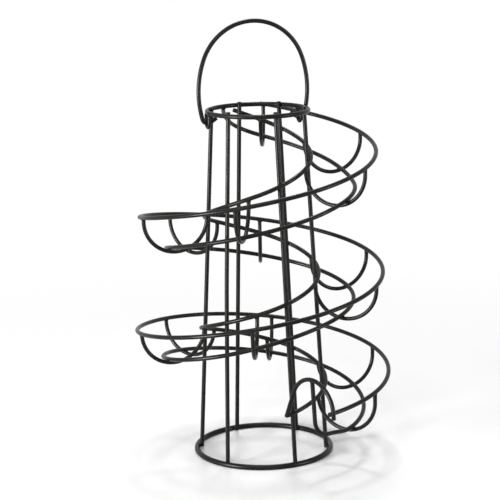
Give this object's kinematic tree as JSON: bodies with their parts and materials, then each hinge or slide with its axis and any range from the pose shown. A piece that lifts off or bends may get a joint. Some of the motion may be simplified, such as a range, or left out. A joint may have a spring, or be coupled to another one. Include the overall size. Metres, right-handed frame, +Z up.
{
  "type": "rolling egg dispenser",
  "caption": "Free-standing wire column wound by a sloping three-wire channel in which eggs roll down to a gate, with a swinging carrying handle.",
  "frame": {"origin": "middle of the base ring, on the floor plane", "axes": "+Z up along the column, -Y towards the picture's viewer, +X to the viewer's right; the exit gate is at the front right"},
  "size_m": [0.1812, 0.1792, 0.3077],
  "materials": {
    "black_coat": "satin"
  },
  "bodies": {
    "frame": {"base_ring": "black_coat", "top_ring": "black_coat", "upright_1": "black_coat", "upright_2": "black_coat", "upright_3": "black_coat", "upright_4": "black_coat", "upright_5": "black_coat", "upright_6": "black_coat", "outer_rail": "black_coat", "inner_rail": "black_coat", "lower_rail": "black_coat", "gate_arch": "black_coat", "rib_01": "black_coat", "rib_02": "black_coat", "rib_03": "black_coat", "rib_04": "black_coat", "rib_05": "black_coat", "rib_06": "black_coat", "rib_07": "black_coat", "rib_08": "black_coat", "rib_09": "black_coat", "rib_10": "black_coat", "rib_11": "black_coat", "rib_12": "black_coat", "rib_13": "black_coat", "rib_14": "black_coat", "rib_15": "black_coat", "right_ear": "black_coat", "left_ear": "black_coat"},
    "handle": {"handle": "black_coat"}
  },
  "joints": [
    {"name": "handle_swing", "type": "hinge", "parent": "frame", "child": "handle", "pos_m": [-0.00256, 0.00649, 0.2374], "axis": [0.9304, 0.3665, 0], "range_deg": [-103, 135]}
  ]
}
